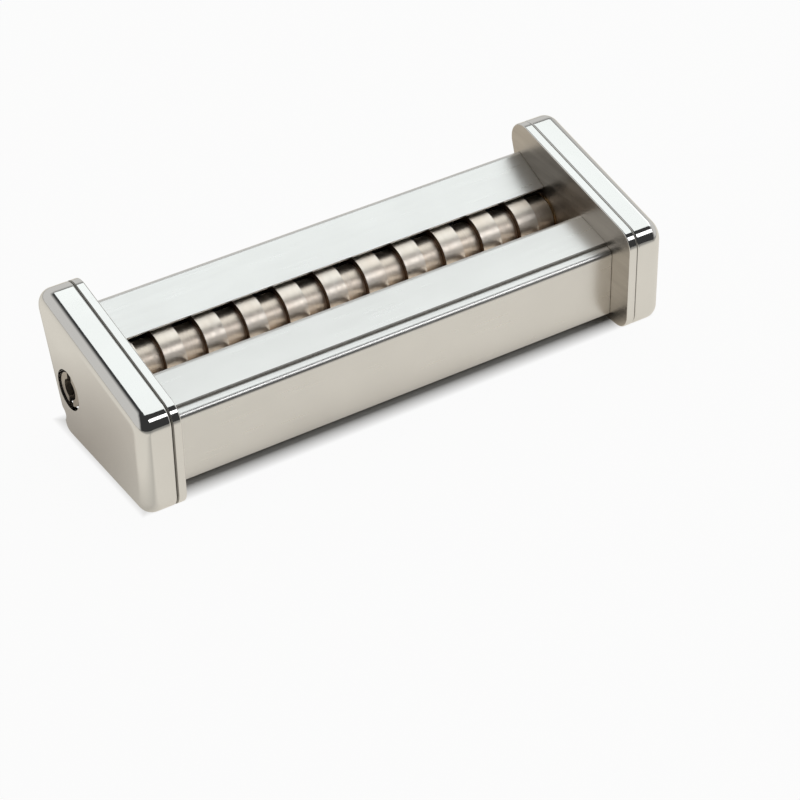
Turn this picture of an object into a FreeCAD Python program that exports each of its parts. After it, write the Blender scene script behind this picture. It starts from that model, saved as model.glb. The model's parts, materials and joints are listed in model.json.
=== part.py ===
import FreeCAD, Part
import os
import Sketcher
from fcgear import fcgear, involute

# Pasta cutting-roller attachment: two end caps, feed plates and a pair of interleaved cutting rollers.
# X runs along the rollers, -Y is the front, +Z is up, and the origin is under the middle of the feet.
# The rollers and feed plates lie in a frame that is tilted about X: u runs back, w runs up.

DRIVING_SIZES = {
    # End caps
    "front_room": 18.0,
    "foot_room": 3.5,
    "cap_width": 9.5,
    "cap_wall": 1.6,
    "cap_top_radius": 6.0,
    "cap_foot_radius": 5.0,
    "cap_edge_radius": 4.0,
    "cap_rim_radius": 0.7,
    "tilt": 12.0,
    "rear_lean": 17.5,
    "crank_hole_clearance": 1.0,
    "hook_height": 7.1,
    "hook_depth": 4.6,
    "hook_radius": 2.2,
    # Cutting rollers
    "strip_width": 6.5,
    "disc_count": 11,
    "cut_clearance": 0.15,
    "end_gap": 0.7,
    "disc_overlap": 0.8,
    "dough_gap": 1.2,
    "journal_radius": 4.0,
    "crank_journal_radius": 5.0,
    "crank_recess": 0.5,
    "socket_radius": 3.1,
    "socket_depth": 14.0,
    "socket_slot_width": 2.2,
    "socket_slot_depth": 3.0,
    "front_journal_length": 4.0,
    # Gears and clips
    "gear_module": 0.8,
    "gear_teeth": 20,
    "gear_pressure_angle": 20.0,
    "gear_thinning": 0.12,
    "gear_gap": 0.7,
    "gear_seat_step": 0.5,
    "gear_flat_depth": 0.7,
    "seat_clearance": 0.02,
    "clip_thickness": 0.7,
    "clip_clearance": 0.05,
    "clip_depth": 0.6,
    "clip_width": 2.0,
    "clip_mouth": 4.0,
    "shaft_tail": 0.7,
    "shaft_end_gap": 1.2,
    # Side plates and bushes
    "plate_thickness": 2.8,
    "plate_edge_radius": 0.4,
    "running_clearance": 0.04,
    "bush_wall": 1.4,
    "bush_flange_width": 1.2,
    "bush_flange_thickness": 0.5,
    "bush_proud": 0.4,
    "bush_fit": 0.03,
    "thrust_clearance": 0.1,
    # Feed plates and covers
    "sheet": 0.8,
    "bend_radius": 1.2,
    "flange_drop": 9.9,
    "rear_plate_drop": 12.7,
    "rear_plate_rise": 12.0,
    "disc_top_gap": 0.4,
    "panel_recess": 8.2,
    "panel_bottom": 2.2,
    "flange_width": 5.2,
    "plate_overlap": 2.4,
    "front_lip_back": 1.2,
    "rear_edge_back": 1.9,
    "lip_drop": 3.0,
    "cover_inset": 0.8,
    "rear_gap": 0.7,
    "cover_end_gap": 0.05,
    # Combs
    "comb_gap": 0.55,
    "comb_bar_width": 5.0,
    "comb_bar_thickness": 2.5,
    "comb_side_gap": 0.45,
    "comb_root_gap": 0.4,
    "tine_reach": 3.8,
    "tine_heel": 1.2,
    "tenon_fit": 0.05,
    # Tie rods
    "rod_radius": 2.0,
    "rod_end_radius": 1.5,
    "rod_seat_gap": 0.05,
    "rod_inset": 1.5,
    "rear_rod_forward": 7.0,
    "lower_rod_forward": 4.6,
    "lower_rod_drop": 4.2,
    "rod_hole_fit": 0.05,
    "nut_radius": 3.18,
    "nut_height": 2.4,
    "rod_tail": 0.6,
    # Cap screws and the tabs they enter
    "tab_thickness": 1.5,
    "tab_width": 8.0,
    "tab_lift": 0.05,
    "front_tab_inset": 10.0,
    "rear_tab_inset": 12.5,
    "screw_radius": 1.25,
    "screw_head_radius": 2.3,
    "screw_length": 4.3,
    "screw_recess": 0.1,
    "screw_fit": 0.1,
}

X_AXIS = FreeCAD.Vector(1, 0, 0)
ACROSS = FreeCAD.Rotation(FreeCAD.Vector(1, 1, 1), 120)
SAME_PLACE = 1e-3

doc = FreeCAD.newDocument("PastaCutter")
sheet = doc.addObject("Spreadsheet::Sheet", "Sizes")
for row, (alias, number) in enumerate(DRIVING_SIZES.items(), start=1):
    sheet.set(f"A{row}", alias)
    sheet.set(f"B{row}", str(number))
    sheet.setAlias(f"B{row}", alias)
doc.recompute()

sub_parts = []


def size(alias):
    return f"Sizes.{alias}"


def value(expression):
    result = sheet.evalExpression(expression)
    return float(getattr(result, "Value", result))


# Shared formulas, written once and used by every piece that fits to them
TILT = size("tilt")
LEAN = size("rear_lean")
RISE = f"({TILT} + Sizes.rear_plate_rise)"
PITCH = "(2 * Sizes.strip_width)"
HALF_CUT = "(Sizes.strip_width * Sizes.disc_count)"
FIRST_DISC = {
    "rear": f"(Sizes.strip_width / 2 - {HALF_CUT})",
    "front": f"(Sizes.strip_width * 3 / 2 - {HALF_CUT})",
}
HALF_SPAN = f"({HALF_CUT} + Sizes.end_gap)"
PLATE_OUTER = f"({HALF_SPAN} + Sizes.plate_thickness)"
CAP_OUTER = f"({PLATE_OUTER} + Sizes.cap_width)"
CENTRES = "(Sizes.gear_module * Sizes.gear_teeth)"
DISC_RADIUS = f"(({CENTRES} + Sizes.disc_overlap) / 2)"
ROOT_RADIUS = f"({CENTRES} - {DISC_RADIUS} - Sizes.dough_gap)"
AXIS_W = f"(Sizes.foot_room + Sizes.comb_bar_thickness + Sizes.comb_gap + {DISC_RADIUS})"
REAR_PLATE_W = f"({AXIS_W} + {DISC_RADIUS} + Sizes.disc_top_gap + Sizes.sheet)"
CAP_TOP_W = f"({REAR_PLATE_W} + Sizes.rear_plate_drop)"
FLANGE_W = f"({CAP_TOP_W} - Sizes.flange_drop)"
FRONT_PLATE_W = f"({FLANGE_W} + Sizes.sheet)"
FLANGE_UNDER_W = f"({FLANGE_W} - Sizes.sheet)"
REAR_REACH = f"({DISC_RADIUS} + Sizes.rear_gap + Sizes.sheet + Sizes.cover_inset - Sizes.cap_top_radius)"
CORNER_RISE = f"({CAP_TOP_W} - Sizes.cap_top_radius - {AXIS_W})"
CORNER_BACK = f"(({REAR_REACH} + {CORNER_RISE} * sin({LEAN} + {TILT})) / cos({LEAN} + {TILT}))"
FRONT_REACH = f"({DISC_RADIUS} + Sizes.front_room)"
REAR_SPREAD = f"(({CENTRES} + {CORNER_BACK}) * cos({TILT}) - {CORNER_RISE} * sin({TILT}))"
CAP_DEPTH = f"({FRONT_REACH} + {REAR_SPREAD} + Sizes.cap_top_radius)"
CAP_FRONT_HEIGHT = f"(({CAP_TOP_W} - {CAP_DEPTH} / 2 * sin({TILT})) / cos({TILT}))"
FRONT_U = f"(({FRONT_REACH} - {CAP_DEPTH} / 2 + {AXIS_W} * sin({TILT})) / cos({TILT}))"
NIP_U = f"({FRONT_U} + {CENTRES} / 2)"
REAR_U = f"({FRONT_U} + {CENTRES})"
PANEL_Y = f"(Sizes.panel_recess - {CAP_DEPTH} / 2)"
FLANGE_U = f"(({PANEL_Y} + {FLANGE_W} * sin({TILT})) / cos({TILT}) + Sizes.flange_width)"
PLATE_FRONT_U = f"({FLANGE_U} - Sizes.plate_overlap)"
GEAR_INNER = f"({PLATE_OUTER} + Sizes.gear_gap)"
SHAFT_END = f"({CAP_OUTER} - Sizes.cap_wall - Sizes.shaft_end_gap)"
CLIP_SLOT = "(Sizes.clip_thickness + 2 * Sizes.clip_clearance)"
GEAR_OUTER = f"({SHAFT_END} - Sizes.shaft_tail - {CLIP_SLOT})"
GEAR_WIDTH = f"({GEAR_OUTER} - {GEAR_INNER})"
GEAR_SEAT = "(Sizes.journal_radius - Sizes.gear_seat_step)"
GEAR_FLAT = f"({GEAR_SEAT} - Sizes.gear_flat_depth)"
CLIP_SEAT = f"({GEAR_SEAT} - Sizes.clip_depth)"
TAB_LENGTH = "(Sizes.cap_width - Sizes.cap_edge_radius)"
CORNER_Y = f"({CAP_DEPTH} / 2 - Sizes.cap_top_radius)"
CORNER_Z = f"(({CAP_TOP_W} - Sizes.cap_top_radius) / cos({TILT}) + {CORNER_Y} * tan({TILT}))"


def tilted(u, w):
    """Place a point of the tilted frame in the upright one."""
    return (
        f"(({u}) * cos({TILT}) - ({w}) * sin({TILT}))",
        f"(({u}) * sin({TILT}) + ({w}) * cos({TILT}))",
    )


def rear_wall_y(inset, z):
    """Give the y of the leaning rear wall, a distance inside the cap's outline, at a height."""
    reach = f"(Sizes.cap_top_radius - ({inset}) + (({z}) - {CORNER_Z}) * sin({LEAN}))"
    return f"({CORNER_Y} + {reach} / cos({LEAN}))"


def rear_wall_corner(inset, w):
    """Give the point where the leaning rear wall meets a tilted plane."""
    rise = f"(({w}) + {CORNER_Y} * sin({TILT}) - {CORNER_Z} * cos({TILT}))"
    reach = f"(Sizes.cap_top_radius - ({inset}))"
    across = f"({reach} * cos({TILT}) + {rise} * sin({LEAN}))"
    up = f"({rise} * cos({LEAN}) + {reach} * sin({TILT}))"
    spread = f"cos({LEAN} + {TILT})"
    return f"({CORNER_Y} + {across} / {spread})", f"({CORNER_Z} + {up} / {spread})"


def rear_plate_edge(depth):
    """Give the slot edge of the rising rear plate, a depth below its top face."""
    across, up = tilted(f"({REAR_U} + Sizes.rear_edge_back)", REAR_PLATE_W)
    return f"({across} + ({depth}) * sin({RISE}))", f"({up} - ({depth}) * cos({RISE}))"


def rear_plate_corner(inset, depth):
    """Give the point where the rising rear plate meets the leaning rear wall."""
    across, up = rear_plate_edge(depth)
    run = f"(({rear_wall_y(inset, up)} - {across}) / (cos({RISE}) - sin({RISE}) * tan({LEAN})))"
    return f"({across} + {run} * cos({RISE}))", f"({up} + {run} * sin({RISE}))"


def under_rear_plate(forward, drop):
    """Give a point below the rear plate, measured from its inner corner."""
    across, up = rear_plate_corner("(Sizes.cover_inset + Sizes.sheet)", size("sheet"))
    return (
        f"({across} - ({forward}) * cos({RISE}) + ({drop}) * sin({RISE}))",
        f"({up} - ({forward}) * sin({RISE}) - ({drop}) * cos({RISE}))",
    )


def cap_outline(inset):
    """Give the corners of the cap's outline, drawn in by a distance."""
    front = f"(({inset}) - {CAP_DEPTH} / 2)"
    top = f"({CAP_TOP_W} - ({inset}))"
    return [
        (front, inset),
        (front, f"({top} / cos({TILT}) + {front} * tan({TILT}))"),
        rear_wall_corner(inset, top),
        (rear_wall_y(inset, inset), inset),
    ]


def new_body(label):
    body = doc.addObject("PartDesign::Body", label)
    body.Label = label
    sub_parts.append(body)
    return body


def place(item, y="0", z="0", x="0"):
    item.setExpression("Placement.Base.x", x)
    item.setExpression("Placement.Base.y", y)
    item.setExpression("Placement.Base.z", z)


def lean_back(body):
    """Turn a body from the upright frame into the tilted one."""
    body.Placement = FreeCAD.Placement(FreeCAD.Vector(), FreeCAD.Rotation(X_AXIS, value(TILT)))
    body.setExpression("Placement.Rotation.Angle", TILT)


def new_sketch(body, name, role, height="0"):
    sketch = body.newObject("Sketcher::SketchObject", name)
    plane = next(item for item in body.Origin.OriginFeatures if item.Role == role)
    sketch.AttachmentSupport = [(plane, "")]
    sketch.MapMode = "FlatFace"
    sketch.setExpression("AttachmentOffset.Base.z", height)
    return sketch


def hold(sketch, rule, expression):
    """Add a sketch constraint whose size is an expression."""
    sketch.setExpression(f"Constraints[{sketch.addConstraint(rule)}]", expression)


def pin(sketch, geometry, point, across, up):
    """Hold a sketch point at two distances from the sketch's origin."""
    for kind, expression in (("DistanceX", across), ("DistanceY", up)):
        hold(sketch, Sketcher.Constraint(kind, -1, 1, geometry, point, value(expression)), expression)


def add_polygon(sketch, corners):
    spots = [FreeCAD.Vector(value(across), value(up), 0) for across, up in corners]
    first = sketch.GeometryCount
    count = len(corners)
    for index in range(count):
        sketch.addGeometry(Part.LineSegment(spots[index], spots[(index + 1) % count]), False)
    for index in range(count):
        following = first + (index + 1) % count
        sketch.addConstraint(Sketcher.Constraint("Coincident", first + index, 2, following, 1))
    for index, (across, up) in enumerate(corners):
        pin(sketch, first + index, 1, across, up)


def add_circle(sketch, across, up, radius):
    centre = FreeCAD.Vector(value(across), value(up), 0)
    circle = Part.Circle(centre, FreeCAD.Vector(0, 0, 1), value(radius))
    index = sketch.addGeometry(circle, False)
    hold(sketch, Sketcher.Constraint("Radius", index, value(radius)), radius)
    pin(sketch, index, 3, across, up)


def polygon_sketch(body, name, role, corners, height="0"):
    sketch = new_sketch(body, name, role, height)
    add_polygon(sketch, corners)
    return sketch


def rectangle(left, bottom, right, top):
    return [(left, bottom), (right, bottom), (right, top), (left, top)]


def add_pad(body, sketch, name, length, reversed_way=False, midplane=False):
    pad = body.newObject("PartDesign::Pad", name)
    pad.Profile = sketch
    pad.setExpression("Length", length)
    pad.Reversed = reversed_way
    pad.Midplane = midplane
    doc.recompute()
    return pad


def add_pocket(body, sketch, name):
    """Cut a sketch right through, both ways, and make sure that it cuts."""
    before = body.Shape.Volume
    pocket = body.newObject("PartDesign::Pocket", name)
    pocket.Profile = sketch
    pocket.Type = "ThroughAll"
    pocket.Midplane = True
    doc.recompute()
    if pocket.Shape.Volume >= before:
        raise RuntimeError(f"{body.Label}: {name} cuts nothing")
    return pocket


def add_turning(body, kind, name, corners):
    """Turn an outline about the body's own X axis."""
    sketch = polygon_sketch(body, name + "Profile", "XY_Plane", corners)
    turning = body.newObject(kind, name)
    turning.Profile = sketch
    turning.ReferenceAxis = (sketch, ["H_Axis"])
    turning.Angle = 360
    doc.recompute()
    return turning


def add_row(body, feature, sketch, name, axis="H_Axis"):
    """Repeat a feature along X, once for each disc of a roller."""
    row_pattern = body.newObject("PartDesign::LinearPattern", name)
    row_pattern.Originals = [feature]
    row_pattern.Direction = (sketch, [axis])
    row_pattern.setExpression("Length", f"{PITCH} * (Sizes.disc_count - 1)")
    row_pattern.setExpression("Occurrences", size("disc_count"))
    body.Tip = row_pattern
    doc.recompute()


def edges_where(feature, test):
    return [f"Edge{index}" for index, edge in enumerate(feature.Shape.Edges, start=1) if test(edge)]


def runs_along_x(edge):
    return edge.BoundBox.YLength < SAME_PLACE and edge.BoundBox.ZLength < SAME_PLACE


def lies_at(shape, x):
    return abs(shape.BoundBox.XMin - x) < SAME_PLACE and abs(shape.BoundBox.XMax - x) < SAME_PLACE


def add_fillet(body, base, name, edges, radius):
    fillet = body.newObject("PartDesign::Fillet", name)
    fillet.Base = (base, edges)
    fillet.setExpression("Radius", radius)
    doc.recompute()
    return fillet


def edge_at(across, up):
    """Make a test for the straight edge along X that passes a point."""
    def test(edge):
        box = edge.BoundBox
        near = abs(box.YMin - value(across)) < SAME_PLACE and abs(box.ZMin - value(up)) < SAME_PLACE
        return runs_along_x(edge) and near
    return test


def hook_slot_sketch(body, name):
    """Draw the round-ended slot that opens through the rear wall."""
    centre_y = f"({rear_wall_y('0', size('hook_height'))} - Sizes.hook_depth + Sizes.hook_radius)"
    radius = size("hook_radius")
    low = f"(Sizes.hook_height - {radius})"
    high = f"(Sizes.hook_height + {radius})"
    mouth = f"({CAP_DEPTH} / 2)"
    sketch = new_sketch(body, name, "YZ_Plane")
    top = FreeCAD.Vector(value(centre_y), value(high), 0)
    bottom = FreeCAD.Vector(value(centre_y), value(low), 0)
    back = FreeCAD.Vector(value(centre_y) - value(radius), value(size("hook_height")), 0)
    top_mouth = FreeCAD.Vector(value(mouth), value(high), 0)
    bottom_mouth = FreeCAD.Vector(value(mouth), value(low), 0)
    sketch.addGeometry(Part.Arc(top, back, bottom), False)
    sketch.addGeometry(Part.LineSegment(bottom, bottom_mouth), False)
    sketch.addGeometry(Part.LineSegment(bottom_mouth, top_mouth), False)
    sketch.addGeometry(Part.LineSegment(top_mouth, top), False)
    sketch.addConstraint(Sketcher.Constraint("Coincident", 0, 2, 1, 1))
    sketch.addConstraint(Sketcher.Constraint("Coincident", 1, 2, 2, 1))
    sketch.addConstraint(Sketcher.Constraint("Coincident", 2, 2, 3, 1))
    sketch.addConstraint(Sketcher.Constraint("Coincident", 3, 2, 0, 1))
    hold(sketch, Sketcher.Constraint("Radius", 0, value(radius)), radius)
    pin(sketch, 0, 3, centre_y, size("hook_height"))
    for end in (1, 2):
        hold(sketch, Sketcher.Constraint("DistanceX", -1, 1, 0, end, value(centre_y)), centre_y)
    pin(sketch, 2, 1, mouth, low)
    pin(sketch, 3, 1, mouth, high)
    return sketch


def screw_places(side):
    """Give the x and y of a cap's two screws."""
    x = f"({side} * ({PLATE_OUTER} + (Sizes.cap_rim_radius + {TAB_LENGTH}) / 2))"
    front = f"(Sizes.front_tab_inset - {CAP_DEPTH} / 2)"
    rear = f"({rear_wall_y('0', '0')} - Sizes.rear_tab_inset)"
    return [(x, front), (x, rear)]


def roller_axis(which):
    return tilted(FRONT_U if which == "front" else REAR_U, AXIS_W)


ROD_PLACES = {
    "front_upper_tie_rod": tilted(
        f"({PLATE_FRONT_U} + Sizes.rod_inset)",
        f"({FLANGE_UNDER_W} - Sizes.rod_radius - Sizes.rod_seat_gap)",
    ),
    "front_lower_tie_rod": tilted(
        f"({FRONT_U} - {DISC_RADIUS} - Sizes.lower_rod_forward)",
        f"({AXIS_W} - Sizes.lower_rod_drop)",
    ),
    "rear_tie_rod": under_rear_plate(
        size("rear_rod_forward"),
        "(Sizes.rod_radius + Sizes.rod_seat_gap)",
    ),
}


def end_block(body, name, start, length, side):
    """Pad the outline of the end, with its corners rounded."""
    outline = polygon_sketch(body, "Outline", "YZ_Plane", cap_outline("0"), f"{side} * {start}")
    block = add_pad(body, outline, name, length, side < 0)
    middle = value(CAP_FRONT_HEIGHT) / 2
    top_edges = edges_where(block, lambda edge: runs_along_x(edge) and edge.BoundBox.ZMin > middle)
    tops = add_fillet(body, block, "TopCorners", top_edges, size("cap_top_radius"))
    foot_edges = edges_where(tops, lambda edge: runs_along_x(edge) and edge.BoundBox.ZMax < SAME_PLACE)
    return add_fillet(body, tops, "FootCorners", foot_edges, size("cap_foot_radius"))


def end_cap(label, side):
    """Draw a rounded shell, open towards the side plate."""
    body = new_body(label)
    feet = end_block(body, "Block", PLATE_OUTER, size("cap_width"), side)
    outer_x = side * value(CAP_OUTER)
    inner_x = side * value(PLATE_OUTER)
    outer_edges = edges_where(feet, lambda edge: lies_at(edge, outer_x))
    rounded = add_fillet(body, feet, "OuterEdge", outer_edges, size("cap_edge_radius"))
    rim_face = next(
        f"Face{index}"
        for index, face in enumerate(rounded.Shape.Faces, start=1)
        if lies_at(face, inner_x)
    )
    shell = body.newObject("PartDesign::Thickness", "Shell")
    shell.Base = (rounded, [rim_face])
    shell.setExpression("Value", size("cap_wall"))
    shell.Reversed = True
    doc.recompute()
    widest = max(
        (wire for face in shell.Shape.Faces if lies_at(face, inner_x) for wire in face.Wires),
        key=lambda wire: wire.BoundBox.DiagonalLength,
    )
    rim_edges = edges_where(shell, lambda edge: any(edge.isSame(item) for item in widest.Edges))
    add_fillet(body, shell, "Rim", rim_edges, size("cap_rim_radius"))
    add_pocket(body, hook_slot_sketch(body, "HookSlotOutline"), "HookSlot")
    if side < 0:
        crank = new_sketch(body, "CrankHoleOutline", "YZ_Plane")
        radius = "(Sizes.crank_journal_radius + Sizes.crank_hole_clearance)"
        add_circle(crank, *roller_axis("rear"), radius)
        add_pocket(body, crank, "CrankHole")
    for index, (x, y) in enumerate(screw_places(side)):
        countersink(body, f"ScrewSeat{index}", x, y)


def countersink(body, name, x, y):
    """Cut the seat of a countersunk screw through the cap's floor."""
    sketch = new_sketch(body, name + "Outline", "XY_Plane")
    add_circle(sketch, x, y, "(Sizes.screw_radius + Sizes.screw_fit)")
    before = body.Shape.Volume
    through = body.newObject("PartDesign::Pocket", name + "Hole")
    through.Profile = sketch
    through.setExpression("Length", "Sizes.cap_wall + Sizes.tab_lift")
    through.Reversed = True
    doc.recompute()
    cone = body.newObject("PartDesign::SubtractiveCone", name + "Cone")
    cone.setExpression("Radius1", "Sizes.screw_head_radius + Sizes.screw_recess + Sizes.screw_fit")
    cone.setExpression("Radius2", "Sizes.screw_radius + Sizes.screw_fit")
    cone.setExpression("Height", "Sizes.screw_head_radius + Sizes.screw_recess - Sizes.screw_radius")
    plane = next(item for item in body.Origin.OriginFeatures if item.Role == "XY_Plane")
    cone.AttachmentSupport = [(plane, "")]
    cone.MapMode = "FlatFace"
    cone.setExpression("AttachmentOffset.Base.x", x)
    cone.setExpression("AttachmentOffset.Base.y", y)
    doc.recompute()
    if not cone.Shape.Volume < through.Shape.Volume < before:
        raise RuntimeError(f"{body.Label}: {name} cuts nothing")


def comb_bar(way, growth="0"):
    """Give the corners of a comb's bar in the tilted frame, grown by a fit."""
    middle = f"({NIP_U} + {way} * ({CENTRES} - Sizes.comb_bar_width) / 2)"
    half = f"(Sizes.comb_bar_width / 2 + {growth})"
    high = f"({AXIS_W} - {DISC_RADIUS} - Sizes.comb_gap + {growth})"
    low = f"({high} - Sizes.comb_bar_thickness - 2 * {growth})"
    return rectangle(f"({middle} - {half})", low, f"({middle} + {half})", high)


def bush_radius(which, side):
    crank_end = which == "rear" and side < 0
    journal = size("crank_journal_radius") if crank_end else size("journal_radius")
    return f"({journal} + Sizes.running_clearance)"


def side_plate(label, side):
    """Make the bearing plate that closes a cap, with two tabs folded out for the cap's screws."""
    body = new_body(label)
    plate = end_block(body, "Plate", HALF_SPAN, size("plate_thickness"), side)
    faces_x = (side * value(HALF_SPAN), side * value(PLATE_OUTER))
    rims = edges_where(plate, lambda edge: any(lies_at(edge, x) for x in faces_x))
    add_fillet(body, plate, "Edges", rims, size("plate_edge_radius"))
    low = "(Sizes.cap_wall + Sizes.tab_lift)"
    for index, (_, y) in enumerate(screw_places(side)):
        corners = rectangle(
            f"({y} - Sizes.tab_width / 2)",
            low,
            f"({y} + Sizes.tab_width / 2)",
            f"({low} + Sizes.tab_thickness)",
        )
        start = f"{side} * {HALF_SPAN}"
        tab = polygon_sketch(body, f"TabOutline{index}", "YZ_Plane", corners, start)
        add_pad(body, tab, f"Tab{index}", f"Sizes.plate_thickness + {TAB_LENGTH}", side < 0)
    holes = new_sketch(body, "HoleOutlines", "YZ_Plane")
    for which in ("front", "rear"):
        hole = f"({bush_radius(which, side)} + Sizes.bush_wall + Sizes.bush_fit)"
        add_circle(holes, *roller_axis(which), hole)
    for y, z in ROD_PLACES.values():
        add_circle(holes, y, z, "(Sizes.rod_end_radius + Sizes.rod_hole_fit)")
    for way in (-1, 1):
        add_polygon(holes, [tilted(u, w) for u, w in comb_bar(way, size("tenon_fit"))])
    add_pocket(body, holes, "Holes")
    add_pocket(body, hook_slot_sketch(body, "HookSlotOutline"), "HookSlot")
    screws = new_sketch(body, "ScrewOutlines", "XY_Plane")
    for x, y in screw_places(side):
        add_circle(screws, x, y, "(Sizes.screw_radius + Sizes.rod_hole_fit)")
    add_pocket(body, screws, "ScrewHoles")


def bend(body, base, outer, inner):
    """Round the two edges of a fold in sheet metal."""
    outside = add_fillet(
        body,
        base,
        "FoldOutside",
        edges_where(base, edge_at(*outer)),
        "Sizes.bend_radius + Sizes.sheet",
    )
    return add_fillet(
        body,
        outside,
        "FoldInside",
        edges_where(outside, edge_at(*inner)),
        size("bend_radius"),
    )


COVER_LENGTH = f"(2 * ({HALF_SPAN} - Sizes.cover_end_gap))"


def front_cover():
    """Fold the front panel back into a narrow flange along its top."""
    body = new_body("front_cover")
    inner_y = f"({PANEL_Y} + Sizes.sheet)"
    outer = (PANEL_Y, f"({FLANGE_W} / cos({TILT}) + {PANEL_Y} * tan({TILT}))")
    inner = (inner_y, f"({FLANGE_UNDER_W} / cos({TILT}) + {inner_y} * tan({TILT}))")
    corners = [
        (PANEL_Y, size("panel_bottom")),
        outer,
        tilted(FLANGE_U, FLANGE_W),
        tilted(FLANGE_U, FLANGE_UNDER_W),
        inner,
        (inner_y, size("panel_bottom")),
    ]
    section = polygon_sketch(body, "Section", "YZ_Plane", corners)
    bend(body, add_pad(body, section, "Sheet", COVER_LENGTH, midplane=True), outer, inner)


def front_feed_plate():
    """Lay a plate on the front flange and fold a lip down along the feed slot."""
    body = new_body("front_feed_plate")
    edge_u = f"({FRONT_U} + Sizes.front_lip_back)"
    inner_u = f"({edge_u} - Sizes.sheet)"
    under = FLANGE_W
    foot = f"({FRONT_PLATE_W} - Sizes.lip_drop)"
    corners = [
        (PLATE_FRONT_U, FRONT_PLATE_W),
        (edge_u, FRONT_PLATE_W),
        (edge_u, foot),
        (inner_u, foot),
        (inner_u, under),
        (PLATE_FRONT_U, under),
    ]
    section = polygon_sketch(body, "Section", "YZ_Plane", corners)
    plate = add_pad(body, section, "Sheet", COVER_LENGTH, midplane=True)
    bend(body, plate, (edge_u, FRONT_PLATE_W), (inner_u, under))
    lean_back(body)


def rear_cover():
    """Fold the rear feed plate down into the leaning rear wall."""
    body = new_body("rear_cover")
    outset = size("cover_inset")
    inset = "(Sizes.cover_inset + Sizes.sheet)"
    foot = size("panel_bottom")
    outer = rear_plate_corner(outset, "0")
    inner = rear_plate_corner(inset, size("sheet"))
    corners = [
        rear_plate_edge("0"),
        outer,
        (rear_wall_y(outset, foot), foot),
        (rear_wall_y(inset, foot), foot),
        inner,
        rear_plate_edge(size("sheet")),
    ]
    section = polygon_sketch(body, "Section", "YZ_Plane", corners)
    bend(body, add_pad(body, section, "Sheet", COVER_LENGTH, midplane=True), outer, inner)


def comb(label, way):
    """Make a comb whose tines reach up into one roller's grooves, below the nip."""
    body = new_body(label)
    bar = comb_bar(way)
    axis_u = f"({NIP_U} + {way} * {CENTRES} / 2)"
    section = polygon_sketch(body, "BarSection", "YZ_Plane", bar)
    add_pad(body, section, "Bar", f"2 * {PLATE_OUTER}", midplane=True)
    low = bar[0][1]
    corners = [
        (bar[0][0] if way > 0 else bar[1][0], low),
        (f"({axis_u} - {way} * Sizes.tine_reach)", f"({AXIS_W} - Sizes.tine_reach)"),
        (f"({axis_u} + {way} * Sizes.tine_heel)", f"({AXIS_W} - Sizes.tine_reach)"),
        (bar[1][0] if way > 0 else bar[0][0], low),
    ]
    first_groove = FIRST_DISC["front" if way > 0 else "rear"]
    tine_sketch = polygon_sketch(body, "TineOutline", "YZ_Plane", corners, first_groove)
    tine_width = "Sizes.strip_width + Sizes.cut_clearance - 2 * Sizes.comb_side_gap"
    tine = add_pad(body, tine_sketch, "Tine", tine_width, midplane=True)
    add_row(body, tine, tine_sketch, "Tines", "N_Axis")
    root = new_sketch(body, "RootOutline", "YZ_Plane")
    add_circle(root, axis_u, AXIS_W, f"({ROOT_RADIUS} + Sizes.comb_root_gap)")
    add_pocket(body, root, "RootClearance")
    lean_back(body)


def cutting_roller(label, which, left_end, left_radius):
    """Turn a grooved roller with its journals, and a flatted seat for its gear."""
    body = new_body(label)
    shoulder = f"({HALF_SPAN} - Sizes.bush_flange_thickness - Sizes.thrust_clearance)"
    clip_end = f"({GEAR_OUTER} + {CLIP_SLOT})"
    corners = [
        (f"-{left_end}", "0"),
        (f"-{left_end}", left_radius),
        (f"-{shoulder}", left_radius),
        (f"-{shoulder}", ROOT_RADIUS),
        (shoulder, ROOT_RADIUS),
        (shoulder, size("journal_radius")),
        (GEAR_INNER, size("journal_radius")),
        (GEAR_INNER, GEAR_SEAT),
        (GEAR_OUTER, GEAR_SEAT),
        (GEAR_OUTER, CLIP_SEAT),
        (clip_end, CLIP_SEAT),
        (clip_end, GEAR_SEAT),
        (SHAFT_END, GEAR_SEAT),
        (SHAFT_END, "0"),
    ]
    add_turning(body, "PartDesign::Revolution", "Shaft", corners)
    middle = FIRST_DISC[which]
    half = "((Sizes.strip_width - Sizes.cut_clearance) / 2)"
    disc_outline = rectangle(f"({middle} - {half})", "0", f"({middle} + {half})", DISC_RADIUS)
    disc = add_turning(body, "PartDesign::Revolution", "Disc", disc_outline)
    add_row(body, disc, disc.Profile[0], "Discs")
    flat_outline = rectangle(GEAR_FLAT, f"-{GEAR_SEAT}", f"2 * {GEAR_SEAT}", GEAR_SEAT)
    flat = polygon_sketch(body, "GearFlatOutline", "YZ_Plane", flat_outline, GEAR_INNER)
    before = body.Shape.Volume
    cut = body.newObject("PartDesign::Pocket", "GearFlat")
    cut.Profile = flat
    cut.setExpression("Length", GEAR_WIDTH)
    cut.Reversed = True
    doc.recompute()
    if cut.Shape.Volume >= before:
        raise RuntimeError(f"{label}: the gear's flat cuts nothing")
    place(body, *roller_axis(which))
    return body


def rear_cutting_roller():
    """Add the blind socket and cross slot that a crank enters at the left end."""
    left_end = f"({CAP_OUTER} - Sizes.crank_recess)"
    body = cutting_roller("rear_cutting_roller", "rear", left_end, size("crank_journal_radius"))
    bore = rectangle(f"-{left_end}", "0", f"(Sizes.socket_depth - {left_end})", size("socket_radius"))
    before = body.Shape.Volume
    add_turning(body, "PartDesign::Groove", "CrankSocket", bore)
    half = "(Sizes.socket_slot_width / 2)"
    slot = rectangle(f"-{left_end}", f"-{half}", f"(Sizes.socket_slot_depth - {left_end})", half)
    add_pocket(body, polygon_sketch(body, "CrossSlotOutline", "XY_Plane", slot), "CrossSlot")
    if body.Shape.Volume >= before:
        raise RuntimeError("rear_cutting_roller: the crank socket cuts nothing")


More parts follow.
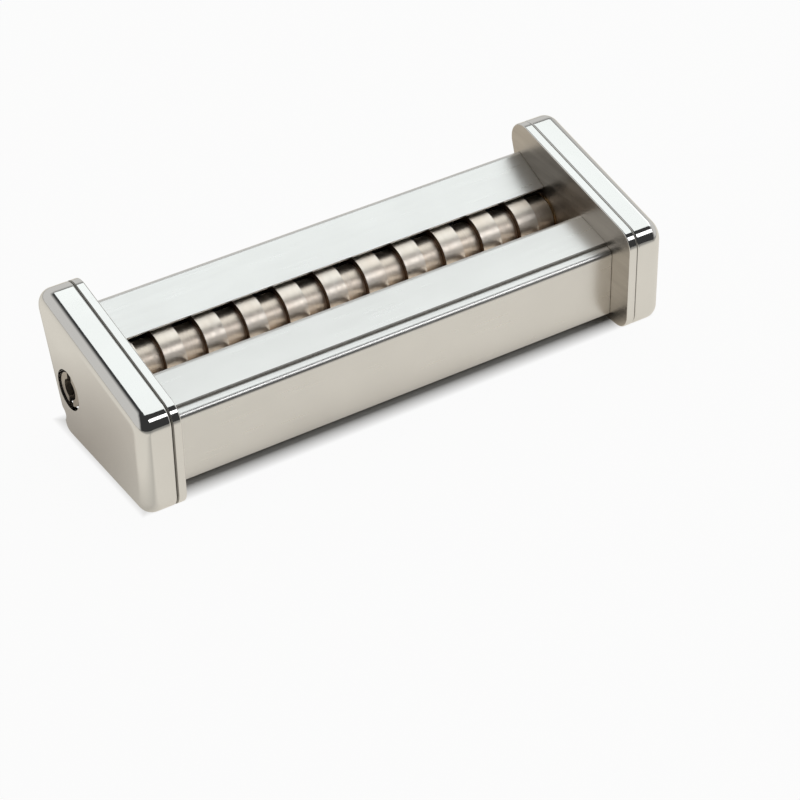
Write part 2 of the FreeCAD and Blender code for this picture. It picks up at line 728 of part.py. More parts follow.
def bush(label, which, side):
    """Turn a flanged bush, with its flange towards the roller."""
    body = new_body(label)
    bore = bush_radius(which, side)
    outside = f"({bore} + Sizes.bush_wall)"
    flange = f"({outside} + Sizes.bush_flange_width)"
    inner = f"({side} * ({HALF_SPAN} - Sizes.bush_flange_thickness))"
    seat = f"({side} * {HALF_SPAN})"
    outer = f"({side} * ({PLATE_OUTER} + Sizes.bush_proud))"
    corners = [
        (inner, bore),
        (inner, flange),
        (seat, flange),
        (seat, outside),
        (outer, outside),
        (outer, bore),
    ]
    add_turning(body, "PartDesign::Revolution", "Bush", corners)
    place(body, *roller_axis(which))


def gear(label):
    """Cut one of the equal involute gears, with a flatted bore."""
    builder = fcgear.FCWireBuilder()
    involute.CreateExternalGear(
        builder,
        value(size("gear_module")),
        int(value(size("gear_teeth"))),
        value(size("gear_pressure_angle")),
        shiftCoeff=-value(size("gear_thinning")),
    )
    outline = doc.addObject("Part::Feature", label + "_outline")
    outline.Shape = Part.Face(Part.Wire([curve.toShape() for curve in builder.wire]))
    blank = doc.addObject("Part::Extrusion", label + "_blank")
    blank.Base = outline
    blank.DirMode = "Normal"
    blank.setExpression("LengthFwd", GEAR_WIDTH)
    shaft = doc.addObject("Part::Cylinder", label + "_shaft")
    shaft.setExpression("Radius", f"{GEAR_SEAT} + Sizes.seat_clearance")
    shaft.setExpression("Height", GEAR_WIDTH)
    flat = doc.addObject("Part::Box", label + "_flat")
    flat.setExpression("Length", f"{GEAR_SEAT} + {GEAR_FLAT} + 2 * Sizes.seat_clearance")
    flat.setExpression("Width", f"2 * {GEAR_SEAT} + 2 * Sizes.seat_clearance")
    flat.setExpression("Height", GEAR_WIDTH)
    corner = f"-{GEAR_SEAT} - Sizes.seat_clearance"
    place(flat, corner, "0", corner)
    bore = doc.addObject("Part::Common", label + "_bore")
    bore.Base = shaft
    bore.Tool = flat
    return bore, blank


def gear_turn(which):
    """Turn the front gear's tooth, and the rear gear's gap, onto the line of centres."""
    return f"({TILT} + 180 / Sizes.gear_teeth)" if which == "rear" else TILT


def mounted_gear(label, which):
    bore, blank = gear(label)
    turn = gear_turn(which)
    blank.Placement = FreeCAD.Placement(
        FreeCAD.Vector(), FreeCAD.Rotation(FreeCAD.Vector(0, 0, 1), value(turn))
    )
    blank.setExpression("Placement.Rotation.Angle", turn)
    wheel = doc.addObject("Part::Cut", label)
    wheel.Label = label
    wheel.Base = blank
    wheel.Tool = bore
    wheel.Placement = FreeCAD.Placement(FreeCAD.Vector(), ACROSS)
    place(wheel, *roller_axis(which), GEAR_INNER)
    sub_parts.append(wheel)


def gear_clip(label, which):
    """Cut an open ring that sits in the groove outside a gear."""
    body = new_body(label)
    start = f"({GEAR_OUTER} + Sizes.clip_clearance)"
    ring = new_sketch(body, "RingOutline", "YZ_Plane", start)
    inside = f"({CLIP_SEAT} + Sizes.clip_clearance)"
    add_circle(ring, "0", "0", inside)
    add_circle(ring, "0", "0", f"({inside} + Sizes.clip_width)")
    add_pad(body, ring, "Ring", size("clip_thickness"))
    half = "(Sizes.clip_mouth / 2)"
    mouth = rectangle("0", f"-{half}", f"2 * ({inside} + Sizes.clip_width)", half)
    add_pocket(body, polygon_sketch(body, "MouthOutline", "YZ_Plane", mouth), "Mouth")
    place(body, *roller_axis(which))


def tie_rod(label):
    """Turn a rod whose shoulders hold the side plates apart."""
    body = new_body(label)
    end = f"({PLATE_OUTER} + Sizes.nut_height + Sizes.rod_tail)"
    corners = [
        (f"-{end}", "0"),
        (f"-{end}", size("rod_end_radius")),
        (f"-{HALF_SPAN}", size("rod_end_radius")),
        (f"-{HALF_SPAN}", size("rod_radius")),
        (HALF_SPAN, size("rod_radius")),
        (HALF_SPAN, size("rod_end_radius")),
        (end, size("rod_end_radius")),
        (end, "0"),
    ]
    add_turning(body, "PartDesign::Revolution", "Rod", corners)
    place(body, *ROD_PLACES[label])


def group(label, members):
    compound = doc.addObject("Part::Compound", label)
    compound.Label = label
    compound.Links = members
    sub_parts.append(compound)


def tie_rod_nuts():
    nuts = []
    for rod, (y, z) in ROD_PLACES.items():
        for side in (-1, 1):
            name = f"{rod}_nut_{'left' if side < 0 else 'right'}"
            blank = doc.addObject("Part::Prism", name + "_blank")
            blank.Polygon = 6
            blank.setExpression("Circumradius", size("nut_radius"))
            blank.setExpression("Height", size("nut_height"))
            thread = doc.addObject("Part::Cylinder", name + "_bore")
            thread.setExpression("Radius", "Sizes.rod_end_radius + Sizes.seat_clearance")
            thread.setExpression("Height", size("nut_height"))
            nut = doc.addObject("Part::Cut", name)
            nut.Base = blank
            nut.Tool = thread
            nut.Placement = FreeCAD.Placement(FreeCAD.Vector(), ACROSS)
            start = PLATE_OUTER if side > 0 else f"-({PLATE_OUTER} + Sizes.nut_height)"
            place(nut, y, z, start)
            nuts.append(nut)
    group("tie_rod_nuts", nuts)


def cap_screws():
    screws = []
    for side in (-1, 1):
        for index, (x, y) in enumerate(screw_places(side)):
            name = f"cap_screw_{'left' if side < 0 else 'right'}_{index}"
            head = doc.addObject("Part::Cone", name + "_head")
            head.setExpression("Radius1", size("screw_head_radius"))
            head.setExpression("Radius2", size("screw_radius"))
            head.setExpression("Height", "Sizes.screw_head_radius - Sizes.screw_radius")
            shank = doc.addObject("Part::Cylinder", name + "_shank")
            shank.setExpression("Radius", size("screw_radius"))
            shank.setExpression("Height", size("screw_length"))
            screw = doc.addObject("Part::Fuse", name)
            screw.Base = head
            screw.Tool = shank
            place(screw, y, size("screw_recess"), x)
            screws.append(screw)
    group("cap_screws", screws)


def write_parts():
    """Check every object, then write each sub-part to its own file."""
    doc.recompute()
    for item in doc.Objects:
        if "Invalid" in item.State or "Error" in item.State:
            raise RuntimeError(f"{item.Label} failed: {item.State}")
    for item in sub_parts:
        if item.Shape.isNull() or not item.Shape.isValid() or not item.Shape.Solids:
            raise RuntimeError(f"{item.Label} has no sound shape")
    os.makedirs("parts", exist_ok=True)
    for item in sub_parts:
        item.Shape.exportStep(f"parts/{item.Label}.step")
        print(item.Label, len(item.Shape.Solids), round(item.Shape.Volume, 1))


end_cap("left_end_cap", -1)
end_cap("right_end_cap", 1)
side_plate("left_side_plate", -1)
side_plate("right_side_plate", 1)
front_cover()
front_feed_plate()
rear_cover()
comb("front_comb", -1)
comb("rear_comb", 1)
rear_cutting_roller()
cutting_roller(
    "front_cutting_roller",
    "front",
    f"({PLATE_OUTER} + Sizes.front_journal_length)",
    size("journal_radius"),
)
for roller in ("front", "rear"):
    bush(f"{roller}_left_bush", roller, -1)
    bush(f"{roller}_right_bush", roller, 1)
    mounted_gear(f"{roller}_roller_gear", roller)
    gear_clip(f"{roller}_gear_clip", roller)
for rod_label in ROD_PLACES:
    tie_rod(rod_label)
tie_rod_nuts()
cap_screws()
write_parts()
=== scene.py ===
import json
import math

import bmesh
import bpy
from mathutils import Matrix, Vector


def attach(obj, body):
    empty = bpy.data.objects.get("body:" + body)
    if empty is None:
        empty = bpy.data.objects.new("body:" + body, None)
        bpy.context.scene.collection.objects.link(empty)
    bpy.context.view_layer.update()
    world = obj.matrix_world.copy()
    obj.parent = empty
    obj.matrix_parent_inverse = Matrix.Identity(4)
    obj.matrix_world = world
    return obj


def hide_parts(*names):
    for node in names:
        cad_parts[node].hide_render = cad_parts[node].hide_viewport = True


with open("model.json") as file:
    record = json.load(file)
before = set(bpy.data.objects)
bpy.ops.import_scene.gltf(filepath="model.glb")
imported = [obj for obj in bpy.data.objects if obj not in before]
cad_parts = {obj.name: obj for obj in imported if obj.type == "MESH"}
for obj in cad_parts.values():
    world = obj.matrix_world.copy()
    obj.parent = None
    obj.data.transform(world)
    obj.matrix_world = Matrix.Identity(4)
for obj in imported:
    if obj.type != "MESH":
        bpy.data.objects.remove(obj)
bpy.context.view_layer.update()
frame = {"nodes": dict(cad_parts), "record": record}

MM = 0.001
nodes = frame["nodes"]

# Meshes: merging, flattening, shading and eased edges
MERGE = 0.002 * MM
FLAT_ANGLE = math.radians(0.2)
SHARP_ANGLE = math.radians(40.0)
FLAT_WEIGHT = 100
EDGE_SEGMENTS = 2
COVER_EDGE = 0.12 * MM
FEED_EDGE = 0.65 * MM
ROLLER_EDGE = 0.12 * MM
SMALL_EDGE = 0.1 * MM
SCREW_EDGE = 0.06 * MM

# Faces that get a finish or painted shade of their own, by place and by how far they look along an axis
FEED_FRONT = -18.65 * MM
# The feed plate's cut front edge and the front of its rounding get a dark finish: unplated steel and
# painted shade
SHEARED_AND_SHADED_FACING = 0.35
CAP_MOUTH = 75.0 * MM
# A narrow strip of each bearing plate beside its cap gets painted shade in the seam
SEAM_WIDTH = 0.45 * MM
SEAM_FACING = 0.05
RIM_FACING = 0.9
SIDE_FACING = 0.5
JOURNAL_START = 71.7 * MM
# Inside this radius a roller's groove floors and disc sides get painted shade
GROOVE_SHADE_RADIUS = 8.2 * MM
ROLLER_AXES = {
    "rear_cutting_roller": (12.568 * MM, 17.955 * MM),
    "front_cutting_roller": (-3.082 * MM, 14.629 * MM),
}

# Drive recesses of the cap screws
SCREW_X = 78.1 * MM
SCREW_Y = (-19.482 * MM, 5.626 * MM)
RECESS_ARM = 0.6 * MM
RECESS_REACH = 0.85 * MM
RECESS_DEPTH = 1.1 * MM

# The part of a noise's range that its values mostly fill
NOISE_LOW = 0.3
NOISE_HIGH = 0.7

# Floor
WHITE = (1.0, 1.0, 1.0)
FLOOR_REACH = 4.0
FLOOR_DROP = 0.3 * MM
PAPER = (0.8, 0.79, 0.76)
PAPER_ROUGHNESS = 0.9
CAMERA_SHARE = 0.95
MIRRORED_SHARE = 0.6
FOOTPRINT = (84.5 * MM, 26.5 * MM, 0.0)
SHADE_EDGE = 6.0 * MM
GLOW_CENTRE = (0.0, -0.02, 0.0)
GLOW_STRETCH = (0.42, 1.0, 0.0)
# Painted light for the paper as the metal mirrors it: painted shade close round the object, a warm
# painted glow just beyond, dimmer far off
GLOW_AND_PAINTED_SHADE_STOPS = (
    (0.036, (0.62, 0.55, 0.475)),
    (0.055, (0.98, 0.915, 0.805)),
    (0.9, (0.42, 0.4, 0.365)),
)
# Painted shade in the mirrored paper beside the foot of the left cap
LEFT_FOOT_PAINTED_SHADE_STOPS = ((0.0, WHITE), (0.74, (0.66, 0.66, 0.66)), (1.0, WHITE))

# Room
RIGHT_WALL_STEP = 0.14
LEFT_WALL = (-0.88, 0.66, 0.0)
ROOM_STOPS = ((0.45, (0.04, 0.04, 0.04)), (0.7, (0.6, 0.59, 0.57)))

# Camera
SENSOR_WIDTH = 36.0
LENS = 121.96
CAMERA_PLACE = (-325.0 * MM, -533.95 * MM, 448.5 * MM)
CAMERA_ACROSS = (0.8397, -0.5429, -0.0124)
CAMERA_AHEAD = (0.4307, 0.6797, -0.5937)


class NodeTree:
    """Short ways to add and link the nodes of one tree."""

    def __init__(self, tree):
        self.tree = tree

    def node(self, kind, **values):
        made = self.tree.nodes.new("ShaderNode" + kind)
        for key, value in values.items():
            setattr(made, key, value)
        return made

    def link(self, source, target):
        self.tree.links.new(source, target)

    def feed(self, target, value):
        """Link a socket to an input, or set a constant on it."""
        if isinstance(value, bpy.types.NodeSocket):
            self.link(value, target)
        else:
            target.default_value = value

    def math(self, operation, *values):
        made = self.node("Math", operation=operation)
        for target, value in zip(made.inputs, values):
            self.feed(target, value)
        return made.outputs["Value"]

    def vector(self, operation, *values):
        """The node of a vector operation, which has both a Vector and a Value output."""
        made = self.node("VectorMath", operation=operation)
        for target, value in zip(made.inputs, values):
            self.feed(target, value)
        return made.outputs

    def split(self, source):
        made = self.node("SeparateXYZ")
        self.link(source, made.inputs["Vector"])
        return made.outputs

    def map_range(self, source, from_min, from_max, to_min=0.0, to_max=1.0):
        made = self.node("MapRange")
        made.inputs["From Min"].default_value = from_min
        made.inputs["From Max"].default_value = from_max
        made.inputs["To Min"].default_value = to_min
        made.inputs["To Max"].default_value = to_max
        self.link(source, made.inputs["Value"])
        return made.outputs["Result"]

    def ramp(self, source, stops):
        """Colours at rising positions."""
        made = self.node("ValToRGB")
        points = made.color_ramp.elements
        for point, (position, color) in zip(points, (stops[0], stops[-1])):
            point.position = position
            point.color = (*color, 1.0)
        for position, color in stops[1:-1]:
            points.new(position).color = (*color, 1.0)
        self.link(source, made.inputs["Fac"])
        return made.outputs["Color"]

    def mix_shader(self, share, first, second):
        made = self.node("MixShader")
        self.link(share, made.inputs["Fac"])
        self.link(first, made.inputs[1])
        self.link(second, made.inputs[2])
        return made.outputs["Shader"]


class Finish(NodeTree):
    """A metal on Object coordinates, with one Principled shader."""

    def __init__(self, name):
        self.material = bpy.data.materials.new(name)
        self.material.use_nodes = True
        super().__init__(self.material.node_tree)
        self.shader = self.tree.nodes["Principled BSDF"]
        self.shader.inputs["Metallic"].default_value = 1.0
        self.place = self.node("TexCoord").outputs["Object"]

    def noise(self, scale, detail=3.0, stretch=(1.0, 1.0, 1.0)):
        """Noise over the piece, drawn out along the directions with a small stretch."""
        mapping = self.node("Mapping")
        mapping.inputs["Scale"].default_value = stretch
        self.link(self.place, mapping.inputs["Vector"])
        noise = self.node("TexNoise")
        noise.inputs["Scale"].default_value = scale
        noise.inputs["Detail"].default_value = detail
        self.link(mapping.outputs["Vector"], noise.inputs["Vector"])
        return noise.outputs["Fac"]

    def tint(self, source, dark, light):
        color = self.ramp(source, ((NOISE_LOW, dark), (NOISE_HIGH, light)))
        self.link(color, self.shader.inputs["Base Color"])

    def rough(self, source, low, high):
        roughness = self.map_range(source, NOISE_LOW, NOISE_HIGH, low, high)
        self.link(roughness, self.shader.inputs["Roughness"])

    def bump(self, source, strength, distance):
        bump = self.node("Bump")
        bump.inputs["Strength"].default_value = strength
        bump.inputs["Distance"].default_value = distance
        self.link(source, bump.inputs["Height"])
        self.link(bump.outputs["Normal"], self.shader.inputs["Normal"])

    def worn_edges(self, radius, color):
        """Rub the edges bright, where the rounded normal leaves the true one."""
        rounded = self.node("Bevel", samples=4)
        rounded.inputs["Radius"].default_value = radius
        true = self.node("NewGeometry")
        facing = self.vector("DOT_PRODUCT", rounded.outputs["Normal"], true.outputs["Normal"])["Value"]
        rubbed = self.map_range(facing, from_min=0.98, from_max=0.85, to_max=0.7)
        base = self.shader.inputs["Base Color"]
        worn = self.node("Mix", data_type="RGBA")
        self.link(rubbed, worn.inputs["Factor"])
        self.link(base.links[0].from_socket, worn.inputs["A"])
        worn.inputs["B"].default_value = (*color, 1.0)
        self.link(worn.outputs["Result"], base)


def chrome_plate():
    """Bright plating with faint wiping marks."""
    finish = Finish("chrome_plate")
    finish.tint(finish.noise(scale=45.0), dark=(0.85, 0.85, 0.84), light=(0.89, 0.89, 0.88))
    wiped = finish.noise(scale=260.0, detail=4.0, stretch=(0.12, 1.0, 1.0))
    finish.rough(wiped, low=0.05, high=0.1)
    finish.bump(wiped, strength=0.015, distance=0.2 * MM)
    return finish.material


def cover_plate():
    """Plating on the pressed covers, drawn out along the rollers."""
    finish = Finish("cover_plate")
    finish.tint(finish.noise(scale=45.0), dark=(0.85, 0.85, 0.84), light=(0.89, 0.89, 0.88))
    drawn = finish.noise(scale=1600.0, stretch=(0.03, 1.0, 1.0))
    finish.rough(drawn, low=0.27, high=0.33)
    finish.bump(drawn, strength=0.006, distance=0.1 * MM)
    return finish.material


def plate_steel():
    """Dull rolled steel on the inner faces of the bearing plates."""
    finish = Finish("plate_steel")
    grain = finish.noise(scale=420.0, detail=4.0, stretch=(1.0, 0.08, 1.0))
    finish.tint(grain, dark=(0.48, 0.44, 0.39), light=(0.62, 0.575, 0.515))
    finish.rough(grain, low=0.28, high=0.42)
    finish.bump(grain, strength=0.05, distance=0.2 * MM)
    return finish.material


def roller_nickel():
    """Turned rollers: fine rings round the axis and rubbed disc edges."""
    finish = Finish("roller_nickel")
    finish.tint(finish.noise(scale=130.0), dark=(0.93, 0.83, 0.73), light=(0.99, 0.92, 0.84))
    rings = finish.noise(scale=2600.0, detail=2.0, stretch=(1.0, 0.02, 0.02))
    finish.rough(rings, low=0.3, high=0.42)
    finish.bump(rings, strength=0.06, distance=0.1 * MM)
    finish.worn_edges(radius=0.3 * MM, color=(0.86, 0.82, 0.78))
    return finish.material


def groove_nickel_painted_shade():
    """Groove floors, rougher than the polished discs and darker as painted shade."""
    finish = Finish("groove_nickel_painted_shade")
    rings = finish.noise(scale=1800.0, stretch=(1.0, 0.03, 0.03))
    finish.tint(rings, dark=(0.86, 0.75, 0.64), light=(0.95, 0.85, 0.75))
    finish.rough(rings, low=0.34, high=0.46)
    finish.bump(rings, strength=0.07, distance=0.1 * MM)
    return finish.material


def disc_side_painted_shade():
    """Sides of the discs, dark brown as painted shade between the discs."""
    finish = Finish("disc_side_painted_shade")
    cut = finish.noise(scale=900.0)
    finish.tint(cut, dark=(0.19, 0.12, 0.07), light=(0.31, 0.2, 0.13))
    finish.rough(cut, low=0.44, high=0.58)
    finish.bump(cut, strength=0.08, distance=0.2 * MM)
    return finish.material


def sheared_edge_painted_shade():
    """The unplated cut edge of a sheet, darkened further as painted shade; also painted shade in the
    seams of the bearing plates beside the caps.
    """
    finish = Finish("sheared_edge_painted_shade")
    torn = finish.noise(scale=1500.0, stretch=(1.0, 0.2, 0.2))
    finish.tint(torn, dark=(0.29, 0.28, 0.265), light=(0.39, 0.38, 0.355))
    finish.rough(torn, low=0.38, high=0.52)
    finish.bump(torn, strength=0.1, distance=0.2 * MM)
    return finish.material


def comb_steel():
    """Rolled strip, bright along the edges of the tines."""
    finish = Finish("comb_steel")
    grain = finish.noise(scale=500.0, stretch=(0.1, 1.0, 1.0))
    finish.tint(grain, dark=(0.48, 0.46, 0.43), light=(0.6, 0.58, 0.55))
    finish.rough(grain, low=0.26, high=0.4)
    finish.bump(grain, strength=0.05, distance=0.2 * MM)
    finish.worn_edges(radius=0.3 * MM, color=(0.72, 0.71, 0.69))
    return finish.material


def bush_bronze():
    """Sintered bronze with open pores."""
    finish = Finish("bush_bronze")
    pores = finish.noise(scale=1800.0, detail=4.0)
    finish.tint(pores, dark=(0.46, 0.3, 0.15), light=(0.62, 0.44, 0.25))
    finish.rough(pores, low=0.34, high=0.5)
    finish.bump(pores, strength=0.12, distance=0.2 * MM)
    return finish.material


def gear_steel():
    """Cut teeth, rubbed bright at the edges."""
    finish = Finish("gear_steel")
    cut_marks = finish.noise(scale=900.0, stretch=(0.1, 1.0, 1.0))
    finish.tint(cut_marks, dark=(0.4, 0.39, 0.38), light=(0.52, 0.51, 0.5))
    finish.rough(cut_marks, low=0.28, high=0.42)
    finish.bump(cut_marks, strength=0.06, distance=0.2 * MM)
    finish.worn_edges(radius=0.2 * MM, color=(0.7, 0.69, 0.68))
    return finish.material


def clip_steel():
    """Blackened spring steel."""
    finish = Finish("clip_steel")
    blackening = finish.noise(scale=800.0)
    finish.tint(blackening, dark=(0.09, 0.09, 0.095), light=(0.16, 0.16, 0.165))
    finish.rough(blackening, low=0.34, high=0.48)
    finish.bump(blackening, strength=0.08, distance=0.2 * MM)
    finish.worn_edges(radius=0.2 * MM, color=(0.4, 0.4, 0.41))
    return finish.material


def zinc_steel():
    """Zinc plating on the rods, nuts and screws."""
    finish = Finish("zinc_steel")
    spangle = finish.noise(scale=900.0)
    finish.tint(spangle, dark=(0.6, 0.61, 0.62), light=(0.72, 0.73, 0.74))
    finish.rough(spangle, low=0.24, high=0.38)
    finish.bump(spangle, strength=0.06, distance=0.2 * MM)
    finish.worn_edges(radius=0.2 * MM, color=(0.78, 0.79, 0.8))
    return finish.material


FINISHES = {
    "chrome_plate": chrome_plate(),
    "cover_plate": cover_plate(),
    "plate_steel": plate_steel(),
    "roller_nickel": roller_nickel(),
    "groove_nickel_painted_shade": groove_nickel_painted_shade(),
    "disc_side_painted_shade": disc_side_painted_shade(),
    "sheared_edge_painted_shade": sheared_edge_painted_shade(),
    "comb_steel": comb_steel(),
    "bush_bronze": bush_bronze(),
    "gear_steel": gear_steel(),
    "clip_steel": clip_steel(),
    "zinc_steel": zinc_steel(),
}


def paint(obj, slot):
    obj.data.materials.clear()
    obj.data.materials.append(FINISHES[slot])


slot_of = {entry["node"]: entry["material_slot"] for entry in frame["record"]["subparts"]}
body_of = {}
for body, held in frame["record"]["behaviour"]["bodies"].items():
    for node in held:
        body_of[node] = body
for node, slot in slot_of.items():
    paint(nodes[node], slot)


def at_feed_front(line):
    return all(vert.co.y < FEED_FRONT for vert in line.verts)


def eased_piece(node, name, edge=0.0, where=None):
    """Stand a merged, smoothly shaded copy for a node, its sharp edges eased where an edge is given."""
    mesh = nodes[node].data.copy()
    mesh.name = name
    bm = bmesh.new()
    bm.from_mesh(mesh)
    bmesh.ops.remove_doubles(bm, verts=bm.verts, dist=MERGE)
    bmesh.ops.dissolve_limit(bm, angle_limit=FLAT_ANGLE, verts=bm.verts, edges=bm.edges)
    if edge:
        sharp = [line for line in bm.edges if line.calc_face_angle(0.0) > SHARP_ANGLE]
        if where:
            sharp = [line for line in sharp if where(line)]
        bmesh.ops.bevel(bm, geom=sharp, offset=edge, offset_type="OFFSET", segments=EDGE_SEGMENTS,
                        profile=0.5, affect="EDGES", clamp_overlap=True, material=-1)
        bmesh.ops.remove_doubles(bm, verts=bm.verts, dist=MERGE)
        bmesh.ops.dissolve_degenerate(bm, dist=MERGE, edges=bm.edges)
    bmesh.ops.connect_verts_concave(bm, faces=bm.faces)
    bmesh.ops.recalc_face_normals(bm, faces=bm.faces)
    bm.to_mesh(mesh)
    bm.free()
    mesh.shade_smooth()
    mesh.set_sharp_from_angle(angle=SHARP_ANGLE)
    piece = bpy.data.objects.new(name, mesh)
    bpy.context.scene.collection.objects.link(piece)
    flats = piece.modifiers.new("flats", "WEIGHTED_NORMAL")
    flats.keep_sharp = True
    flats.weight = FLAT_WEIGHT
    paint(piece, slot_of[node])
    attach(piece, body_of[node])
    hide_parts(node)
    return piece


def add_finishes(piece, *names):
    for name in names:
        piece.data.materials.append(FINISHES[name])


def bright_rim(plate):
    """Plate the narrow edge of a bearing plate, leave its faces dull, and darken the seam beside its cap
    as painted shade.
    """
    add_finishes(plate, "chrome_plate", "sheared_edge_painted_shade")
    for face in plate.data.polygons:
        depth = CAP_MOUTH - abs(face.center.x)
        if abs(face.normal.x) < RIM_FACING:
            face.material_index = 1
        if -MERGE < depth < SEAM_WIDTH and abs(face.normal.x) > SEAM_FACING:
            face.material_index = 2


def bare_journals(roller, axis):
    """Leave the journals of a roller as bare steel, and paint its groove floors and disc sides with
    painted shade.
    """
    add_finishes(roller, "plate_steel", "groove_nickel_painted_shade", "disc_side_painted_shade")
    for face in roller.data.polygons:
        if abs(face.center.x) > JOURNAL_START:
            face.material_index = 1
        elif math.hypot(face.center.y - axis[0], face.center.z - axis[1]) < GROOVE_SHADE_RADIUS:
            face.material_index = 3 if abs(face.normal.x) > SIDE_FACING else 2


def sheared_and_shaded_front(sheet):
    """Leave the cut front edge of the feed plate unplated, and darken its rounded front as painted
    shade.
    """
    add_finishes(sheet, "sheared_edge_painted_shade")
    for face in sheet.data.polygons:
        if face.normal.y < -SHEARED_AND_SHADED_FACING:
            face.material_index = 1


def cross_cutter():
    """A cross at each screw's head, one core with four arms drawn out of its sides."""
    mesh = bpy.data.meshes.new("recess_cutter")
    bm = bmesh.new()
    core = Matrix.Diagonal((RECESS_ARM, RECESS_ARM, 2.0 * RECESS_DEPTH, 1.0))
    for x in (-SCREW_X, SCREW_X):
        for y in SCREW_Y:
            made = bmesh.ops.create_cube(bm, size=1.0, matrix=Matrix.Translation((x, y, 0.0)) @ core)
            around = dict.fromkeys(face for vert in made["verts"] for face in vert.link_faces)
            sides = [face for face in around if abs(face.normal.z) < SIDE_FACING]
            for face in sides:
                way = face.normal.copy()
                arm = bmesh.ops.extrude_discrete_faces(bm, faces=[face])["faces"][0]
                bmesh.ops.translate(bm, verts=arm.verts, vec=way * RECESS_REACH)
    bmesh.ops.recalc_face_normals(bm, faces=bm.faces)
    bm.to_mesh(mesh)
    bm.free()
    cutter = bpy.data.objects.new("recess_cutter", mesh)
    bpy.context.scene.collection.objects.link(cutter)
    return cutter


def cross_recesses(screws):
    """Cut the drive recesses into the screw heads."""
    cutter = cross_cutter()
    recess = screws.modifiers.new("recess", "BOOLEAN")
    recess.operation = "DIFFERENCE"
    recess.solver = "EXACT"
    recess.object = cutter
    screws.modifiers.move(len(screws.modifiers) - 1, 0)
    with bpy.context.temp_override(object=screws, active_object=screws):
        bpy.ops.object.modifier_apply(modifier="recess")
    bpy.data.objects.remove(cutter)


for node in ("left_end_cap", "right_end_cap"):
    eased_piece(node, node + "_shell")
for node in ("front_cover", "rear_cover"):
    paint(eased_piece(node, node + "_sheet", COVER_EDGE), "cover_plate")
feed_plate = eased_piece("front_feed_plate", "front_feed_plate_sheet", FEED_EDGE, at_feed_front)
paint(feed_plate, "cover_plate")
sheared_and_shaded_front(feed_plate)
for node in ("left_side_plate", "right_side_plate"):
    bright_rim(eased_piece(node, node + "_rimmed"))
for node, axis in ROLLER_AXES.items():
    bare_journals(eased_piece(node, node + "_turned", ROLLER_EDGE), axis)
for node in ("tie_rod_nuts", "front_comb", "rear_comb"):
    eased_piece(node, node + "_eased", SMALL_EDGE)
cross_recesses(eased_piece("cap_screws", "cap_screws_recessed", SCREW_EDGE))


def painted_paper_glow(tree, place):
    """The paper's painted glow as the metal mirrors it, with painted shade close round the object and at
    the foot of the left cap, weaker far in front.
    """
    around = tree.node("Mapping")
    around.inputs["Location"].default_value = GLOW_CENTRE
    around.inputs["Scale"].default_value = GLOW_STRETCH
    tree.link(place, around.inputs["Vector"])
    distance = tree.vector("LENGTH", around.outputs["Vector"])["Value"]
    color = tree.ramp(distance, GLOW_AND_PAINTED_SHADE_STOPS)
    spot = tree.split(place)
    forward = tree.map_range(spot["Y"], from_min=-0.2, from_max=-0.1, to_min=0.3)
    beside = tree.map_range(spot["X"], from_min=-0.103, from_max=-0.078)
    strength = tree.math("MULTIPLY", forward, tree.ramp(beside, LEFT_FOOT_PAINTED_SHADE_STOPS))
    faded = tree.node("VectorMath", operation="SCALE")
    tree.link(color, faded.inputs[0])
    tree.link(strength, faded.inputs["Scale"])
    return faded.outputs["Vector"]


def glow_share(tree, place, rays):
    """How far the paper glows: for the camera, less in mirrors, and not beneath the object, where it
    fades out over a box round the feet so the paper's own shade shows.
    """
    mirrored = tree.math("MULTIPLY", rays["Is Glossy Ray"], MIRRORED_SHARE)
    share = tree.math("MULTIPLY_ADD", rays["Is Camera Ray"], CAMERA_SHARE, mirrored)
    quarter = tree.vector("ABSOLUTE", place)["Vector"]
    outside = tree.split(tree.vector("SUBTRACT", quarter, FOOTPRINT)["Vector"])
    edge = tree.math("MAXIMUM", outside["X"], outside["Y"])
    shaded = tree.map_range(edge, from_min=-SHADE_EDGE, from_max=0.0)
    return tree.math("MULTIPLY", share, shaded)


def floor_paper():
    """Pale paper, white to the camera, with a warm painted glow and painted shade in what the metal
    mirrors, and clear from below.
    """
    material = bpy.data.materials.new("floor_paper")
    material.use_nodes = True
    tree = NodeTree(material.node_tree)
    shader = material.node_tree.nodes["Principled BSDF"]
    shader.inputs["Base Color"].default_value = (*PAPER, 1.0)
    shader.inputs["Roughness"].default_value = PAPER_ROUGHNESS
    shader.inputs["Specular IOR Level"].default_value = 0.0
    place = tree.node("TexCoord").outputs["Object"]
    rays = tree.node("LightPath").outputs
    color = tree.node("Mix", data_type="RGBA")
    color.inputs["B"].default_value = (*WHITE, 1.0)
    tree.link(rays["Is Camera Ray"], color.inputs["Factor"])
    tree.link(painted_paper_glow(tree, place), color.inputs["A"])
    glow = tree.node("Emission")
    tree.link(color.outputs["Result"], glow.inputs["Color"])
    share = glow_share(tree, place, rays)
    upper = tree.mix_shader(share, shader.outputs["BSDF"], glow.outputs["Emission"])
    below = tree.node("NewGeometry").outputs["Backfacing"]
    clear = tree.node("BsdfTransparent").outputs["BSDF"]
    surface = tree.mix_shader(below, upper, clear)
    tree.link(surface, material.node_tree.nodes["Material Output"].inputs["Surface"])
    return material


def studio_floor():
    """A wide sheet just under the object's feet."""
    mesh = bpy.data.meshes.new("studio_floor")
    bm = bmesh.new()
    bmesh.ops.create_grid(bm, x_segments=1, y_segments=1, size=FLOOR_REACH,
                          matrix=Matrix.Translation((0.0, 0.0, -FLOOR_DROP)))
    bm.to_mesh(mesh)
    bm.free()
    floor = bpy.data.objects.new("studio_floor", mesh)
    bpy.context.scene.collection.objects.link(floor)
    mesh.materials.append(floor_paper())


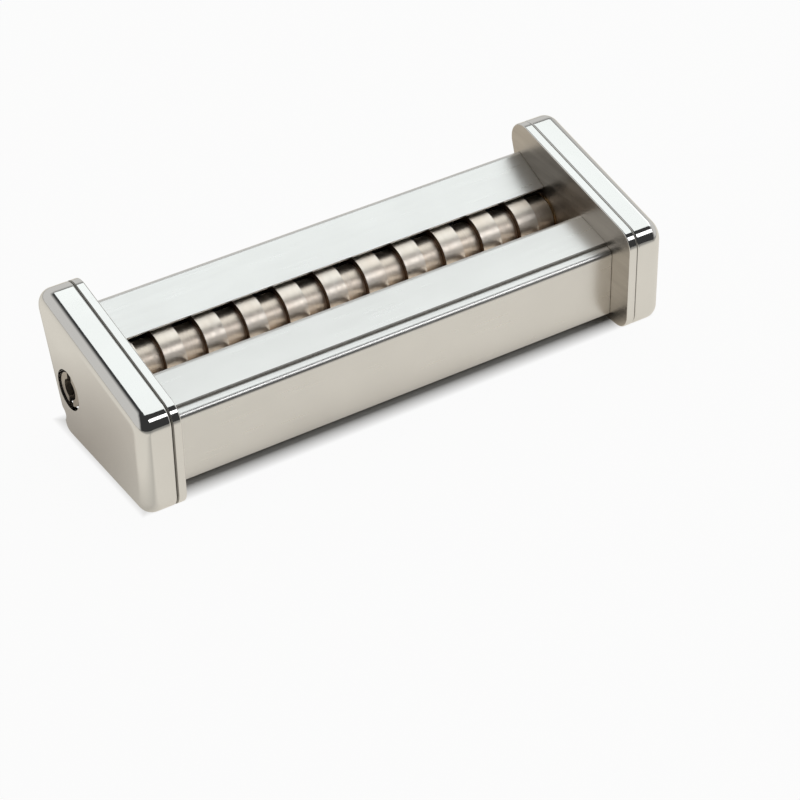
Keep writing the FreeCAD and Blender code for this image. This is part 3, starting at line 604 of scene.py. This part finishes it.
def studio_world():
    """A dim room with grey side and back walls, so that the metal shows dark between the lamps."""
    world = bpy.data.worlds.new("studio")
    world.use_nodes = True
    bpy.context.scene.world = world
    tree = NodeTree(world.node_tree)
    direction = tree.node("TexCoord").outputs["Generated"]
    toward = tree.split(direction)
    right = tree.math("SUBTRACT", toward["X"], RIGHT_WALL_STEP)
    left = tree.vector("DOT_PRODUCT", direction, LEFT_WALL)["Value"]
    sides = tree.math("MAXIMUM", left, right)
    walls = tree.math("MAXIMUM", sides, toward["Y"])
    tree.link(tree.ramp(walls, ROOM_STOPS), world.node_tree.nodes["Background"].inputs["Color"])


def area_light(name, place, width, height, power, color):
    """A soft lamp turned to the object, its width along the rollers."""
    light = bpy.data.lights.new(name, "AREA")
    light.shape = "RECTANGLE"
    light.size = width
    light.size_y = height
    light.energy = power
    light.color = color
    lamp = bpy.data.objects.new(name, light)
    away = Vector(place).normalized()
    across = (Vector((1.0, 0.0, 0.0)) - away * away.x).normalized()
    turn = Matrix((across, away.cross(across), away)).transposed()
    lamp.matrix_world = Matrix.Translation(place) @ turn.to_4x4()
    bpy.context.scene.collection.objects.link(lamp)


def camera():
    """Stand the camera where the photograph was taken from."""
    data = bpy.data.cameras.new("camera")
    data.sensor_width = SENSOR_WIDTH
    data.lens = LENS
    shot = bpy.data.objects.new("camera", data)
    across = Vector(CAMERA_ACROSS).normalized()
    ahead = Vector(CAMERA_AHEAD).normalized()
    over = across.cross(ahead).normalized()
    turn = Matrix((across, over, -ahead)).transposed()
    shot.matrix_world = Matrix.Translation(CAMERA_PLACE) @ turn.to_4x4()
    bpy.context.scene.collection.objects.link(shot)
    bpy.context.scene.camera = shot


studio_floor()
studio_world()
area_light("rear_overhead", place=(0.74, 0.29, 1.535), width=1.7, height=1.3, power=7.1,
           color=(0.96, 1.0, 0.99))
area_light("front_strip", place=(0.564, -0.793, 0.862), width=0.9, height=0.32, power=1.8, color=WHITE)
camera()
bpy.context.scene.view_settings.view_transform = "Standard"
